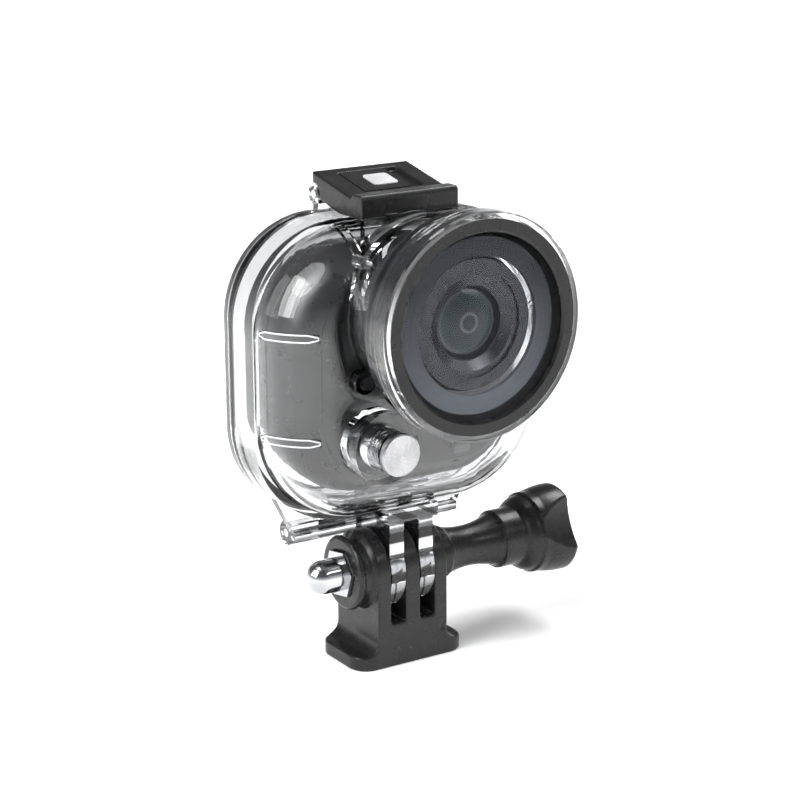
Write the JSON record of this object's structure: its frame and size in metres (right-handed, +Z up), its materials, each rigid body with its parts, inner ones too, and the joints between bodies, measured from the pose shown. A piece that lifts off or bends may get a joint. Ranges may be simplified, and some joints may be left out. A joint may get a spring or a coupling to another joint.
{
  "type": "action camera",
  "caption": "Small action camera in a clear hinged dive housing with a large round lens port, push button, top latch and a three-prong tripod adapter with clamp screw.",
  "frame": {"origin": "centre of the tripod thread's mouth, on the adapter's underside", "axes": "+Z up through the housing, the lens looks along -Y, +X to the lens's left-hand side seen from behind the camera"},
  "size_m": [0.0655, 0.0403, 0.0886],
  "materials": {
    "black_plastic": "satin",
    "dark_plastic": "matt",
    "clear_plastic": "clear polycarbonate",
    "port_glass": "coated",
    "seal_rubber": "matt",
    "steel": "polished",
    "dark_steel": "blackened",
    "brass": "machined",
    "camera_case": "soft satin",
    "screen_glass": "gloss",
    "battery_wrap": "film wrap",
    "board": "solder mask",
    "sensor_glass": "gloss",
    "status_light": "frosted",
    "lens_glass": "coated",
    "button_metal": "turned",
    "button_rubber": "matt"
  },
  "bodies": {
    "mount_base": {"tripod_base": "black_plastic", "thread_insert": "brass", "acorn_nut": "steel"},
    "thumb_screw": {"clamp_bolt": "steel", "thumb_knob": "black_plastic"},
    "housing": {"front_shell": "clear_plastic", "port_barrel": "clear_plastic", "port_hood": "dark_plastic", "port_glass": "port_glass", "port_seal": "seal_rubber", "port_ring": "black_plastic", "port_screws": "dark_steel", "hinge_pin": "steel", "camera_front": "camera_case", "camera_body": "camera_case", "camera_screws": "steel", "side_cover": "camera_case", "rear_screen": "screen_glass", "battery": "battery_wrap", "main_board": "board", "image_sensor": "sensor_glass", "usb_socket": "steel", "status_window": "status_light", "lens_mount": "dark_plastic", "lens_tube": "dark_plastic", "lens_bezel": "black_plastic", "front_lens": "lens_glass", "rear_lens": "lens_glass", "shutter_spring": "steel", "mode_spring": "steel"},
    "back_door": {"back_door": "clear_plastic", "door_seal": "seal_rubber", "latch_pin": "steel"},
    "latch": {"latch_lever": "black_plastic"},
    "lock_slider": {"lock_slider": "black_plastic", "slider_grip": "clear_plastic"},
    "shutter_plunger": {"shutter_cap": "button_metal", "shutter_sleeve": "clear_plastic", "shutter_stem": "steel", "shutter_o_ring": "seal_rubber", "shutter_clip": "steel"},
    "camera_shutter": {"camera_shutter_button": "button_rubber"},
    "mode_plunger": {"mode_cap": "button_metal", "mode_sleeve": "clear_plastic", "mode_stem": "steel", "mode_o_ring": "seal_rubber", "mode_clip": "steel"},
    "camera_mode": {"camera_mode_button": "button_rubber"}
  },
  "joints": [
    {"name": "thumb_turn", "type": "hinge", "parent": "mount_base", "child": "thumb_screw", "pos_m": [0, 0, 0.017], "axis": [1, 0, 0], "continuous": true},
    {"name": "housing_tilt", "type": "hinge", "parent": "mount_base", "child": "housing", "pos_m": [0, 0, 0.017], "axis": [1, 0, 0], "range_deg": [-50, 65]},
    {"name": "door_hinge", "type": "hinge", "parent": "housing", "child": "back_door", "pos_m": [0, 0.008, 0.0236], "axis": [-1, 0, 0], "range_deg": [0, 105]},
    {"name": "latch_hinge", "type": "hinge", "parent": "back_door", "child": "latch", "pos_m": [0, 0.0093, 0.0846], "axis": [-1, 0, 0], "range_deg": [0, 110]},
    {"name": "lock_slide", "type": "slide", "parent": "latch", "child": "lock_slider", "axis": [1, 0, 0], "range_m": [0, 0.0024]},
    {"name": "shutter_press", "type": "slide", "parent": "housing", "child": "shutter_plunger", "axis": [0, 1, 0], "range_m": [0, 0.0012], "stiffness_N_per_m": 500, "springref_m": -0.002, "deforming": ["shutter_spring"]},
    {"name": "camera_shutter_press", "type": "slide", "parent": "housing", "child": "camera_shutter", "axis": [0, 1, 0], "range_m": [0, 0.0005]},
    {"name": "mode_press", "type": "slide", "parent": "housing", "child": "mode_plunger", "axis": [-1, 0, 0], "range_m": [0, 0.0012], "stiffness_N_per_m": 500, "springref_m": -0.002, "deforming": ["mode_spring"]},
    {"name": "camera_mode_press", "type": "slide", "parent": "housing", "child": "camera_mode", "axis": [-1, 0, 0], "range_m": [0, 0.0005]}
  ],
  "couplings": [
    {"joint": "camera_shutter_press", "follows": "shutter_press", "ratio": 0.41667},
    {"joint": "camera_mode_press", "follows": "mode_press", "ratio": 0.41667}
  ]
}
